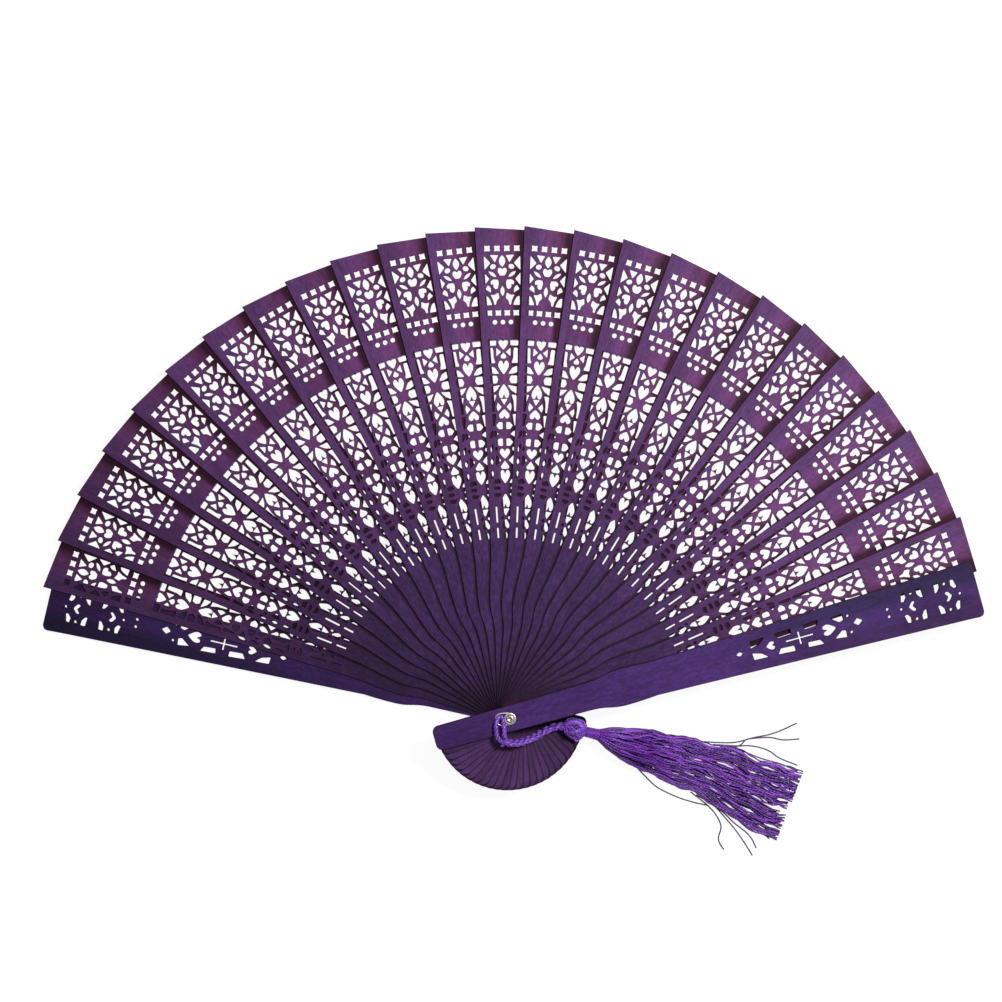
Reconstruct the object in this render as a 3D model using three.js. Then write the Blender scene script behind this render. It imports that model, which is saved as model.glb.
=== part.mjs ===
// Folding hand fan of pierced, dyed wood with a cord tassel, standing open.
// Millimetres. +Z runs along the rivet, towards the side that shows. The rivet's axis is x = y = 0, and
// its foot stands on z = 0. The sticks lie flat, one above the other, each turned a little further clockwise.

import * as THREE from 'three';

// ---- driving dimensions ----

const BLADES = 25; // sticks between the two guards
const INTERVALS = BLADES + 1; // steps from the rear guard to the front guard
const MIDDLE_DEG = 91; // where the middle stick points, anticlockwise from +X
const STEP_DEG = 5.83; // turn from one stick to the next, fan open
const LAST_STEP_DEG = 5.23; // the front guard stands nearer its neighbour
const CROWD_DEG = 0.84; // the first blades stand this much nearer the rear guard
const CROWD_FROM = 2; // from this blade on less and less,
const CROWD_TO = 8; // and not at all from this one on

const BLADE_TIP = 175; // rivet to the tip edge of a blade, along its axis
const GUARD_TIP = 173;
const BLADE_TAIL = 27.3; // rivet to the tail end
const GUARD_TAIL = 28;
const TIP_SLANT_DEG = 3.9; // each blade's end edge leans, so the rim is a row of low teeth

const BLADE_THICK = 0.6;
const GUARD_THICK = 2;
const STICK_GAP = 0.12; // air between neighbouring sticks

const PIN_R = 0.9;
const PIN_HOLE_R = 1.08;
const FOOT_R = 2.4;
const FOOT_HIGH = 0.8;
const WASHER_R = 2.25;
const WASHER_THICK = 0.35;
const WASHER_HOLE_R = 1;
const PEEN_R = 1.35;
const PEEN_HIGH = 0.45;

const WIRE_R = 0.35; // tassel ring

const RIBBON_R = 137; // from the rivet to the middle of the spread ribbon
const RIBBON_WIDE = 4;
const RIBBON_THICK = 0.08;
const RIBBON_OFF = 0.02; // air between the ribbon and the wood

const CORD_R = 1.15;
const KNOT_R = 4;
const BINDING_R = 2.3;

// ---- heights of the stack ----

const REAR_WASHER_Z = FOOT_HIGH;
const REAR_GUARD_Z = REAR_WASHER_Z + WASHER_THICK + 0.05;
const FIRST_BLADE_Z = REAR_GUARD_Z + GUARD_THICK + STICK_GAP;
const BLADE_PITCH = BLADE_THICK + STICK_GAP;
const FRONT_GUARD_Z = FIRST_BLADE_Z + BLADES * BLADE_PITCH;
const FRONT_GUARD_TOP = FRONT_GUARD_Z + GUARD_THICK;
const RING_Z = FRONT_GUARD_TOP + WIRE_R + 0.03;
const FRONT_WASHER_Z = RING_Z + WIRE_R + 0.03;
const PEEN_Z = FRONT_WASHER_Z + WASHER_THICK;

// ---- materials ----

function wood(color) {
  return new THREE.MeshStandardMaterial({ color, roughness: 0.62, metalness: 0 });
}

const bladeWood = wood(0x40204f);
const guardWood = wood(0x45267a);
const steel = new THREE.MeshStandardMaterial({ color: 0xb9ada2, roughness: 0.32, metalness: 1 });
const wire = new THREE.MeshStandardMaterial({ color: 0xc9c4bf, roughness: 0.28, metalness: 1 });
const silk = new THREE.MeshStandardMaterial({ color: 0x6a35c4, roughness: 0.7, metalness: 0 });
const satin = new THREE.MeshStandardMaterial({ color: 0x3c1f6b, roughness: 0.55, metalness: 0 });

function mesh(name, geometry, material) {
  const made = new THREE.Mesh(geometry, material);
  made.name = name;
  return made;
}

// ---- sticks ----
// Drawn along +X with the rivet at the origin. +Y is a stick's anticlockwise side.

// The half-widths that shape one kind of stick, and the size of its tail's rounded corners.
const BLADE_FORM = {
  tip: BLADE_TIP,
  tail: BLADE_TAIL,
  tailLong: 3.4,
  tailWide: 4.2,
  shoulder: 6.6,
  waist: 6,
  waistAt: 57,
  bow: 7.3,
  end: 10.2,
};
const GUARD_FORM = {
  tip: GUARD_TIP,
  tail: GUARD_TAIL,
  tailLong: 2.2,
  tailWide: 2.2,
  shoulder: 6.6,
  waist: 6.1,
  waistAt: 53,
  bow: 8,
  end: 10.1,
};

const NECK_HALF = 4.6; // at the rivet
const NECK_END = 29; // where the neck widens into the shoulder
const NECK_END_HALF = 4.95;
const SHOULDER_AT = 42;
const TAIL_HALF = 4.4;
const TIP_ROUND = 2; // a guard's rounded tip corners

// One side of a stick from the tail to the tip: side is 1 for the anticlockwise edge, -1 for the other.
function edgeCurves(form, side) {
  const at = (x, half) => new THREE.Vector2(x, side * half);
  const middle = (form.waistAt + form.tip) / 2;
  return [
    new THREE.LineCurve(at(form.tailLong - form.tail, TAIL_HALF), at(0, NECK_HALF)),
    new THREE.LineCurve(at(0, NECK_HALF), at(NECK_END, NECK_END_HALF)),
    new THREE.CubicBezierCurve(
      at(NECK_END, NECK_END_HALF), at(36, 5.2), at(35.5, form.shoulder), at(SHOULDER_AT, form.shoulder)),
    new THREE.QuadraticBezierCurve(
      at(SHOULDER_AT, form.shoulder), at(47, form.shoulder), at(form.waistAt, form.waist)),
    new THREE.QuadraticBezierCurve(
      at(form.waistAt, form.waist), at(middle, form.bow), at(form.tip, form.end)),
  ];
}

function edgePoints(form, side) {
  const points = [];
  for (const curve of edgeCurves(form, side)) {
    points.push(...curve.getPoints(curve.isLineCurve ? 1 : 4).slice(1));
  }
  return points;
}

function tailPoints({ tail, tailLong, tailWide }) {
  const quarter = Math.PI / 2;
  const x = tailLong - tail;
  const y = tailWide - TAIL_HALF;
  const corner = new THREE.EllipseCurve(x, y, tailLong, tailWide, -quarter, -Math.PI, true).getPoints(4);
  const mirrored = corner.map((p) => new THREE.Vector2(p.x, -p.y)).reverse();
  return [...corner, ...mirrored];
}

function bladeOutline() {
  const drop = Math.tan(THREE.MathUtils.degToRad(TIP_SLANT_DEG)) * BLADE_FORM.end;
  const left = edgePoints(BLADE_FORM, 1);
  const right = edgePoints(BLADE_FORM, -1).reverse();
  left.at(-1).x += drop;
  right[0].x -= drop;
  return [...tailPoints(BLADE_FORM), ...left, ...right];
}

function guardOutline() {
  const { tip, end } = GUARD_FORM;
  const left = edgePoints(GUARD_FORM, 1).slice(0, -1);
  const right = left.map((p) => new THREE.Vector2(p.x, -p.y)).reverse();
  const low = tip - TIP_ROUND;
  const inner = end - TIP_ROUND;
  const round = new THREE.EllipseCurve(low, inner, TIP_ROUND, TIP_ROUND, Math.PI / 2, 0, true);
  const corner = round.getPoints(3);
  const mirrored = corner.map((p) => new THREE.Vector2(p.x, -p.y)).reverse();
  return [...tailPoints(GUARD_FORM), ...left, ...corner, ...mirrored, ...right];
}

function diamond(x, y, halfLong, halfWide) {
  return new THREE.Path().setFromPoints([
    new THREE.Vector2(x - halfLong, y),
    new THREE.Vector2(x, y - halfWide),
    new THREE.Vector2(x + halfLong, y),
    new THREE.Vector2(x, y + halfWide),
  ]);
}

// A blade's fretwork is drawn as a few larger openings: pairs in the two lace panels, then a single row.
function bladeOpenings() {
  const openings = [];
  for (const side of [-1, 1]) {
    openings.push(diamond(156.5, side * 3.1, 7.5, 1.9));
    openings.push(diamond(124, side * 2.6, 8, 1.4));
  }
  openings.push(diamond(99, 0, 8, 1.9));
  openings.push(diamond(77, 0, 8, 1.6));
  return openings;
}

function guardOpenings() {
  const openings = [];
  for (const x of [148, 161]) {
    openings.push(diamond(x, 0, 4.6, 3.4));
  }
  openings.push(diamond(127.5, 0, 3.2, 1.8));
  openings.push(diamond(106, 0, 5, 2.2));
  openings.push(diamond(92.5, 0, 3, 2));
  return openings;
}

function stickGeometry(outline, openings, thick) {
  const shape = new THREE.Shape(outline);
  shape.holes.push(new THREE.Path().absarc(0, 0, PIN_HOLE_R, 0, 2 * Math.PI));
  shape.holes.push(...openings);
  return new THREE.ExtrudeGeometry(shape, { depth: thick, bevelEnabled: false, curveSegments: 6 });
}

// Where stick number i points, from the rear guard (0) to the front guard (INTERVALS).
function stickAngle(i) {
  const back = i === INTERVALS ? STEP_DEG - LAST_STEP_DEG : 0;
  const crowd = i === 0 ? 0 : CROWD_DEG * (1 - THREE.MathUtils.smoothstep(i, CROWD_FROM, CROWD_TO));
  return THREE.MathUtils.degToRad(MIDDLE_DEG + (INTERVALS / 2 - i) * STEP_DEG + back + crowd);
}

function stickBottom(i) {
  return i === 0 ? REAR_GUARD_Z : FIRST_BLADE_Z + (i - 1) * BLADE_PITCH;
}

function stick(name, i, geometry, material) {
  const made = mesh(name, geometry, material);
  made.position.z = stickBottom(i);
  made.rotation.z = stickAngle(i);
  return made;
}

function sticks() {
  const guard = stickGeometry(guardOutline(), guardOpenings(), GUARD_THICK);
  const made = [stick('rear_guard', 0, guard, guardWood)];
  for (let i = 1; i <= BLADES; i += 1) {
    const name = `blade_${String(i).padStart(2, '0')}`;
    made.push(stick(name, i, stickGeometry(bladeOutline(), bladeOpenings(), BLADE_THICK), bladeWood));
  }
  made.push(stick('front_guard', INTERVALS, guard.clone(), guardWood));
  return made;
}

// ---- rivet ----

function lathe(points, segments) {
  const profile = points.map(([r, z]) => new THREE.Vector2(r, z));
  return new THREE.LatheGeometry(profile, segments).rotateX(Math.PI / 2);
}

function rivetPin() {
  const top = PEEN_Z + PEEN_HIGH;
  return lathe([
    [0, 0],
    [FOOT_R - 0.5, 0],
    [FOOT_R, 0.35],
    [FOOT_R, FOOT_HIGH],
    [PIN_R, FOOT_HIGH],
    [PIN_R, PEEN_Z],
    [PEEN_R, PEEN_Z],
    [PEEN_R, PEEN_Z + 0.2],
    [PEEN_R - 0.3, top],
    [0.5, top],
    [0, top - 0.3],
  ], 24);
}

function washer(z) {
  return lathe([
    [WASHER_HOLE_R, 0],
    [WASHER_R, 0],
    [WASHER_R, WASHER_THICK - 0.1],
    [WASHER_R - 0.1, WASHER_THICK],
    [WASHER_HOLE_R, WASHER_THICK],
    [WASHER_HOLE_R, 0],
  ], 24).translate(0, 0, z);
}

function rivet() {
  return [
    mesh('rivet_pin', rivetPin(), steel),
    mesh('rear_washer', washer(REAR_WASHER_Z), steel),
    mesh('front_washer', washer(FRONT_WASHER_Z), steel),
  ];
}

// ---- spread ribbon ----
// It runs along the backs of the sticks and steps round the clockwise edge of each, so that no two neighbours
// can open further than its slack. Drawn as a staircase in angle and height, then bent round the rivet.

function ribbonEdgeTurn(i) {
  const half = i === 0 ? 8.9 : 8.5;
  return Math.atan2(half, RIBBON_R) + 0.25 / RIBBON_R;
}

function ribbonStairs() {
  const stairs = [];
  let from = stickAngle(0);
  for (let i = 0; i <= INTERVALS; i += 1) {
    const to = i === INTERVALS ? stickAngle(i) : stickAngle(i) - ribbonEdgeTurn(i);
    const z = stickBottom(i) - RIBBON_OFF;
    stairs.push([from, z], [to, z]);
    from = to;
  }
  return stairs;
}

function spreadRibbon() {
  const stairs = ribbonStairs();
  const upper = stairs.map(([turn, z]) => new THREE.Vector2(turn * RIBBON_R, z));
  const lower = upper.map((p) => new THREE.Vector2(p.x - RIBBON_THICK, p.y - RIBBON_THICK));
  lower.reverse();
  lower[0].x = upper.at(-1).x;
  lower.at(-1).x = upper[0].x;
  const outline = new THREE.Shape([...upper, ...lower]);
  const geometry = new THREE.ExtrudeGeometry(outline, { depth: RIBBON_WIDE, bevelEnabled: false });
  const place = geometry.attributes.position;
  for (let k = 0; k < place.count; k += 1) {
    const turn = place.getX(k) / RIBBON_R;
    const r = RIBBON_R - RIBBON_WIDE / 2 + place.getZ(k);
    place.setXYZ(k, r * Math.cos(turn), r * Math.sin(turn), place.getY(k));
  }
  return mesh('spread_ribbon', geometry, satin);
}

// ---- tassel ----

const RING_TURN = THREE.MathUtils.degToRad(184); // the ring lies on the front guard's tail
const RING_LONG = 3.25; // half-lengths of the wire's centre line
const RING_WIDE = 2.1;
const RING_CENTRE = 1.9;

// The cord's centre line, from the ring over the tails to the knot.
const CORD_POINTS = [
  [-3.5, -4.1, 24.9],
  [-3.1, -6.5, 24.6],
  [-1.6, -8.2, 23.2],
  [0.8, -9, 21.4],
  [3.7, -9, 19],
  [6.9, -8.3, 16.2],
  [9.9, -7.2, 13.8],
  [12.7, -5.8, 11.9],
  [15.8, -4.6, 10.3],
  [19, -4.3, 9.5],
];
const KNOT_AT = [23.5, -5.1, 9.2];
const BINDING_FROM = [27.9, -6.5, 8.6];
const BINDING_TO = [32.6, -7.7, 7.9];
const SKIRT_FROM = [33, -7.8, 7.8];
const SKIRT_TO = [104.3, -34.6, 7.8];
const SKIRT_DROP = 5.2; // how far the skirt sinks to the table beyond the binding
const SKIRT_DROP_LONG = 32;
const SKIRT_FLAT = 0.2; // the skirt lies down: its height over its width, once it is down

// An oblong link: a torus whose two halves are pulled apart along X. No ring of its points has x = 0.
function tasselRing() {
  const geometry = new THREE.TorusGeometry(RING_WIDE, WIRE_R, 10, 22);
  const place = geometry.attributes.position;
  const pull = RING_LONG - RING_WIDE;
  for (let k = 0; k < place.count; k += 1) {
    place.setX(k, RING_CENTRE + place.getX(k) + pull * Math.sign(place.getX(k)));
  }
  const ring = mesh('tassel_ring', geometry, wire);
  ring.position.z = RING_Z;
  ring.rotation.z = RING_TURN;
  return ring;
}

function tasselCord() {
  const path = new THREE.CatmullRomCurve3(CORD_POINTS.map((p) => new THREE.Vector3(...p)));
  const section = new THREE.Shape().absarc(0, 0, CORD_R, 0, 2 * Math.PI);
  const geometry = new THREE.ExtrudeGeometry(section, { steps: 12, extrudePath: path, curveSegments: 4 });
  return mesh('tassel_cord', geometry, silk);
}

// Places a solid that was turned about +Y so that it runs from one point towards another.
function along(made, from, to) {
  const start = new THREE.Vector3(...from);
  const way = new THREE.Vector3(...to).sub(start).normalize();
  const side = way.clone().cross(new THREE.Vector3(0, 0, 1)).normalize();
  const up = side.clone().cross(way);
  made.position.copy(start);
  made.quaternion.setFromRotationMatrix(new THREE.Matrix4().makeBasis(side, way, up));
  return made;
}

function tasselKnot() {
  const knot = mesh('tassel_knot', new THREE.SphereGeometry(KNOT_R, 16, 10), silk);
  knot.position.set(...KNOT_AT);
  return knot;
}

function spin(points, segments) {
  return new THREE.LatheGeometry(points.map(([r, y]) => new THREE.Vector2(r, y)), segments);
}

function tasselBinding() {
  const long = new THREE.Vector3(...BINDING_FROM).distanceTo(new THREE.Vector3(...BINDING_TO));
  const geometry = spin([
    [0, 0],
    [BINDING_R - 0.4, 0],
    [BINDING_R, 0.6],
    [BINDING_R, long - 0.6],
    [BINDING_R - 0.3, long],
    [0, long],
  ], 16);
  return along(mesh('tassel_binding', geometry, silk), BINDING_FROM, BINDING_TO);
}

// Round at the binding, then flat on the table.
function tasselSkirt() {
  const long = new THREE.Vector3(...SKIRT_FROM).distanceTo(new THREE.Vector3(...SKIRT_TO));
  const geometry = spin([
    [0, 0],
    [2.3, 0],
    [4.6, 7],
    [7.4, 14],
    [9.2, 22],
    [11.6, 43],
    [11.6, long - 3],
    [9, long],
    [0, long],
  ], 20);
  const place = geometry.attributes.position;
  for (let k = 0; k < place.count; k += 1) {
    const down = THREE.MathUtils.smoothstep(place.getY(k), 0, SKIRT_DROP_LONG);
    const flat = THREE.MathUtils.lerp(0.9, SKIRT_FLAT, down);
    place.setZ(k, place.getZ(k) * flat - SKIRT_DROP * down);
  }
  return along(mesh('tassel_skirt', geometry, silk), SKIRT_FROM, SKIRT_TO);
}

// ---- assembly ----

const group = new THREE.Group();
group.add(...sticks());
group.add(...rivet());
group.add(spreadRibbon());
group.add(tasselRing(), tasselCord(), tasselKnot(), tasselBinding(), tasselSkirt());

export default group;
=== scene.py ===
"""Looks of a folding hand fan of pierced, dyed wood with a cord tassel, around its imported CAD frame.

Shapes are drawn in millimetres and turned into metres when a mesh is made. A stick is drawn along +X with
the rivet at the origin and its anticlockwise side at +Y, as in the CAD part.
"""

import math
import random

import bpy
import numpy as np
from mathutils import Matrix, Quaternion, Vector
from mathutils.geometry import delaunay_2d_cdt


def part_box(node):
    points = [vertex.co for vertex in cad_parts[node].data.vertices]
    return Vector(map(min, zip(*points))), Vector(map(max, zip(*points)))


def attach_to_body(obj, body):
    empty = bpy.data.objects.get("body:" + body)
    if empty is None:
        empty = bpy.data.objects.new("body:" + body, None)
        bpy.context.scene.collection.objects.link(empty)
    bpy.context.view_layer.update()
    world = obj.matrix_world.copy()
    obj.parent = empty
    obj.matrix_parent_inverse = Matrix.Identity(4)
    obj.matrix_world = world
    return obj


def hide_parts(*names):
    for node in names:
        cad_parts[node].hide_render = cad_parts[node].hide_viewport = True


MM = 0.001

# ---- the frame ----

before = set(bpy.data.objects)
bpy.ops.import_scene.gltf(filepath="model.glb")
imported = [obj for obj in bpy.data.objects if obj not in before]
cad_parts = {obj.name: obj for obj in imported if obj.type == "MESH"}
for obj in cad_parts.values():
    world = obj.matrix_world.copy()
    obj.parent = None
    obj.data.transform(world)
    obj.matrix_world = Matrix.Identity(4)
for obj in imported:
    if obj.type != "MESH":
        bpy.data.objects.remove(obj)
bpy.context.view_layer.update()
scene = bpy.context.scene

BLADES = 25
INTERVALS = BLADES + 1
MIDDLE_DEG = 91
STEP_DEG = 5.83
LAST_STEP_DEG = 5.23  # the front guard stands nearer its neighbour
CROWD_DEG = 0.84  # the first blades stand this much nearer the rear guard
CROWD_FROM = 2  # from this blade on less and less,
CROWD_TO = 8  # and not at all from this one on


def rise(value, start, end):
    """A smooth step from 0 at start to 1 at end."""
    share = min(1, max(0, (value - start) / (end - start)))
    return share * share * (3 - 2 * share)


def stick_turn(i):
    """Where stick i points, from the rear guard (0) to the front guard (INTERVALS)."""
    back = STEP_DEG - LAST_STEP_DEG if i == INTERVALS else 0
    crowd = CROWD_DEG * (1 - rise(i, CROWD_FROM, CROWD_TO)) if i > 0 else 0
    return math.radians(MIDDLE_DEG + (INTERVALS / 2 - i) * STEP_DEG + back + crowd)


def stick_node(i):
    return {0: "rear_guard", INTERVALS: "front_guard"}.get(i, f"blade_{i:02d}")


def stick_body(i):
    return {0: "rear", INTERVALS: "front"}.get(i, f"stick_{i:02d}")


def heights(node):
    """Lowest and highest z of a CAD node, in mm."""
    low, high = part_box(node)
    return low.z / MM, high.z / MM


# ---- camera and light ----

CAMERA_AT = (3.5, 115.9, 1000)  # mm
CAMERA_TARGET = (-3.5, 77.3, 12)
CAMERA_LENS = 98.69
CAMERA_ROLL_DEG = 0.16
LIGHTS_AIM_AT = (0, 0.07, 0)  # m
LIGHTS = {"key": ((0.26, 0.22, 0.6), 0.115, 6.4), "fill": ((0.1, 0.5, 1.3), 0.8, 4)}  # place, size, power
WORLD_COLOUR = (1, 0.99, 0.985, 1)
WORLD_STRENGTH = 0.33


def add_object(name, data):
    made = bpy.data.objects.new(name, data)
    scene.collection.objects.link(made)
    return made


def make_camera():
    data = bpy.data.cameras.new("camera")
    data.lens = CAMERA_LENS
    data.clip_start = 0.01
    data.clip_end = 20
    camera = add_object("camera", data)
    camera.location = Vector(CAMERA_AT) * MM
    ahead = (Vector(CAMERA_TARGET) - Vector(CAMERA_AT)).normalized()
    right = ahead.cross(Vector((0, 1, 0))).normalized()
    up = right.cross(ahead)
    level = Matrix((right, up, -ahead)).transposed().to_quaternion()
    camera.rotation_mode = "QUATERNION"
    camera.rotation_quaternion = level @ Quaternion((0, 0, 1), math.radians(CAMERA_ROLL_DEG))
    scene.camera = camera


def make_light():
    for name, (at, size, power) in LIGHTS.items():
        data = bpy.data.lights.new(name, "AREA")
        data.shape = "DISK"
        data.size = size
        data.energy = power
        light = add_object(name, data)
        light.location = at
        light.rotation_mode = "QUATERNION"
        light.rotation_quaternion = (Vector(LIGHTS_AIM_AT) - light.location).to_track_quat("-Z", "Y")
    world = bpy.data.worlds.new("studio")
    scene.world = world
    world.use_nodes = True
    background = world.node_tree.nodes["Background"]
    background.inputs["Color"].default_value = WORLD_COLOUR
    background.inputs["Strength"].default_value = WORLD_STRENGTH
    scene.view_settings.view_transform = "Standard"


make_camera()
make_light()


# ---- materials ----


class Look:
    """A material's node tree, with short ways to add nodes and to join them."""

    def __init__(self, name):
        self.material = bpy.data.materials.new(name)
        self.material.use_nodes = True
        self.tree = self.material.node_tree
        self.shader = self.tree.nodes["Principled BSDF"]

    def put(self, socket, value):
        if isinstance(value, bpy.types.NodeSocket):
            self.tree.links.new(value, socket)
        elif isinstance(value, (tuple, list)) and len(value) == 3 and socket.type == "RGBA":
            socket.default_value = (*value, 1)
        else:
            socket.default_value = value

    def add(self, kind, inputs, **settings):
        node = self.tree.nodes.new(kind)
        for name, value in settings.items():
            setattr(node, name, value)
        for key, value in inputs.items():
            self.put(node.inputs[key], value)
        return node

    def value(self, kind, inputs=None, output=0, **settings):
        return self.add(kind, inputs or {}, **settings).outputs[output]

    def math(self, operation, a, b=0):
        return self.value("ShaderNodeMath", {0: a, 1: b}, operation=operation)

    def times(self, first, *others):
        for other in others:
            first = self.math("MULTIPLY", first, other)
        return first

    def plus(self, a, b):
        return self.math("ADD", a, b)

    def minus(self, a, b):
        return self.math("SUBTRACT", a, b)

    def mix(self, factor, a, b, blend="MIX"):
        inputs = {0: factor, 6: a, 7: b}
        return self.value("ShaderNodeMix", inputs, 2, data_type="RGBA", blend_type=blend)

    def ease(self, value, start, end, low=0, high=1):
        """A smooth step from low at start to high at end."""
        inputs = {"Value": value, "From Min": start, "From Max": end, "To Min": low, "To Max": high}
        return self.value("ShaderNodeMapRange", inputs, interpolation_type="SMOOTHSTEP")

    def vary(self, noise, low=0, high=1):
        """The usual values of a noise, spread from low to high."""
        return self.ease(noise, 0.3, 0.7, low, high)

    def noise(self, vector, scale, detail=3, rough=0.5, distortion=0):
        """Noise with one scale, or with one for each axis."""
        if isinstance(scale, tuple):
            vector = self.value("ShaderNodeMapping", {"Vector": vector, "Scale": scale})
            scale = 1
        inputs = {"Vector": vector, "Scale": scale, "Detail": detail, "Roughness": rough}
        return self.value("ShaderNodeTexNoise", inputs | {"Distortion": distortion}, "Fac")

    def millimetres(self):
        """The piece's coordinates in mm, the same moved by its random number, and that number."""
        place = self.value("ShaderNodeTexCoord", output="Object")
        own = self.value("ShaderNodeObjectInfo", output="Random")
        shift = self.value("ShaderNodeCombineXYZ", {0: self.times(own, 900), 2: self.times(own, 370)})
        scaled = self.value("ShaderNodeVectorMath", {0: place, "Scale": 1 / MM}, operation="SCALE")
        moved = self.value("ShaderNodeVectorMath", {0: scaled, 1: shift}, operation="ADD")
        return scaled, moved, own

    def bump(self, height, strength, distance_mm):
        inputs = {"Height": height, "Strength": strength, "Distance": distance_mm * MM}
        return self.value("ShaderNodeBump", inputs)

    def finish(self, **values):
        for name, value in values.items():
            self.put(self.shader.inputs[name.replace("_", " ")], value)
        return self.material


def tint(*display):
    """A colour given as 8-bit display values, in the linear values that a shader takes."""
    return tuple(((v / 255 + 0.055) / 1.055) ** 2.4 if v > 10 else v / 255 / 12.92 for v in display)


def wood_grain(look, moved):
    """Streaks, pores, blotches and mottling of the wood: four noises."""
    streaks = look.noise(moved, (0.05, 1.1, 0.8), 5, 0.6, 0.35)
    pores = look.noise(moved, (0.55, 8, 4), 2, 0.6)
    blotches = look.noise(moved, (0.05, 0.11, 0.1), 3, 0.6, 0.8)
    mottling = look.noise(moved, (0.5, 1.1, 1), 4, 0.7, 0.5)
    return streaks, pores, blotches, mottling


SEAM_SHADE = tint(22, 9, 25)  # painted shade near the rivet, and along the seams between the necks
NECK_MOTTLE = tint(62, 40, 104)


def dyed_wood(name, blue, purple, plum, neck, tail, shadow_colour=None, outer=1):
    """Dyed wood: blue along the +Y margin, purple in the middle and plum along -Y, with its neck and tail.

    The painted shade beside the next stick up, where that stick's shadow falls, takes the colour given for
    it, and outer is the shade of the tip.
    Distances are in mm. The object's own colour, a painted shade that darkens the sticks toward the rear
    guard, multiplies the dye.
    """
    look = Look(name)
    scaled, moved, own = look.millimetres()
    axes = look.add("ShaderNodeSeparateXYZ", {0: scaled})
    along, across = axes.outputs[0], axes.outputs[1]
    streaks, pores, blotches, mottling = wood_grain(look, moved)
    place = look.plus(across, look.times(look.minus(blotches, 0.5), 9))
    colour = look.mix(look.ease(place, 5.5, 0.5), blue, purple)
    colour = look.mix(look.ease(place, 0.5, -6), colour, plum)
    mottled = look.mix(look.ease(mottling, 0.4, 0.7, 0, 0.24), neck, NECK_MOTTLE)
    colour = look.mix(look.ease(along, 45, 130), mottled, colour)
    # Painted shade: the shadow of the next stick up beside its edge, darkest along the seams between the
    # necks.
    if shadow_colour:
        painted_shadow_colour = look.mix(look.ease(along, 50, 110), SEAM_SHADE, shadow_colour)
        colour = look.mix(painted_shadow_band(look, along, across), colour, painted_shadow_colour)
        # Painted shade, darkening toward the rivet where the sticks crowd.
        colour = look.mix(look.ease(along, 30, 6, 0, 0.8), colour, SEAM_SHADE)
    colour = look.mix(look.ease(along, 0, -11), colour, tail)
    # Painted shade on the tail beside the next stick up.
    if shadow_colour:
        colour = look.mix(tail_painted_shadow(look, along, across), colour, SEAM_SHADE)
    shade = look.times(
        look.vary(streaks, 0.9, 1.08),
        look.vary(blotches, 0.82, 1.18),
        look.vary(mottling, 0.78, 1.2),
        look.ease(along, 110, 172, 1, outer),
        look.ease(pores, 0.32, 0.46, 0.84, 1),
        look.plus(look.times(own, 0.16), 0.92),
    )
    grey = look.value("ShaderNodeCombineColor", {0: shade, 1: shade, 2: shade})
    # The object's colour is painted shade: the sticks darken toward the rear guard, where the light falls
    # off.
    strength = look.value("ShaderNodeObjectInfo", output="Color")
    for factor in (grey, strength):
        colour = look.mix(1, colour, factor, "MULTIPLY")
    height = look.plus(look.times(streaks, 0.5), look.times(pores, 0.5))
    return look.finish(
        Base_Color=colour,
        Roughness=look.vary(pores, 0.66, 0.5),
        Specular_IOR_Level=0.07,
        Normal=look.bump(height, 0.3, 0.12),
    )


STEP_RISE = math.sin(math.radians(STEP_DEG))  # sideways to the next stick, by distance from the rivet
TAIL_HALF = 4.4
BLADE_TIP = 175
# Half the width of a blade, by distance from the rivet.
HALF_WIDTHS = [(0, 4.6), (29, 4.95), (36, 5.5), (42, 6.6), (57, 6), (116, 7.7), (BLADE_TIP, 10.2)]
CURVE_TOP_MM = 12  # the half width that 1 stands for in the curve node


def painted_shadow_band(look, along, across):
    """Where the next stick's shadow is painted: 1 beside the edge of the next stick up, easing to 0 away
    from it, further out over a wider band.
    """
    node = look.add("ShaderNodeFloatCurve", {"Value": look.math("DIVIDE", along, BLADE_TIP)})
    points = node.mapping.curves[0].points
    for x, half in HALF_WIDTHS[1:-1]:
        points.new(x / BLADE_TIP, half / CURVE_TOP_MM)
    points[0].location = (0, HALF_WIDTHS[0][1] / CURVE_TOP_MM)
    points[-1].location = (1, HALF_WIDTHS[-1][1] / CURVE_TOP_MM)
    node.mapping.update()
    half = look.times(node.outputs[0], CURVE_TOP_MM)
    edge = look.minus(half, look.times(along, STEP_RISE))
    away = look.minus(across, edge)
    wide = look.ease(along, 30, 150, 1.05, 3.4)
    beside = look.ease(look.math("DIVIDE", away, wide), 1, 0.3)
    return look.times(beside, look.ease(along, 6, 20))


def tail_painted_shadow(look, along, across):
    """Where painted shade lies on the tail: 1 beside the edge of the next stick up."""
    edge = look.minus(-TAIL_HALF, look.times(along, STEP_RISE))
    beside = look.ease(look.minus(edge, across), 0.5, 0.1)
    return look.times(beside, look.ease(along, -2, -9, 0, 0.8))


def burnt_wood():
    """The cut walls of the openings, browned by the cutting heat."""
    look = Look("burnt_wood")
    _, moved, _ = look.millimetres()
    soot = look.noise(moved, 0.6, 4, 0.6)
    lines = look.noise(moved, (0.4, 0.4, 9), 2)
    colour = look.mix(look.vary(soot), tint(36, 15, 27), tint(52, 24, 44))
    return look.finish(
        Base_Color=colour,
        Roughness=look.vary(soot, 0.6, 0.8),
        Specular_IOR_Level=0.1,
        Normal=look.bump(lines, 0.3, 0.05),
    )


def metal(name, colour, dark, rough):
    look = Look(name)
    _, moved, _ = look.millimetres()
    cloud = look.noise(moved, 1.3, 4, 0.6)
    scratches = look.noise(moved, (9, 0.8, 3), 3, 0.7)
    return look.finish(
        Base_Color=look.mix(look.vary(cloud), dark, colour),
        Metallic=1,
        Roughness=look.vary(scratches, rough - 0.07, rough + 0.12),
        Normal=look.bump(scratches, 0.15, 0.03),
    )


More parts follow.
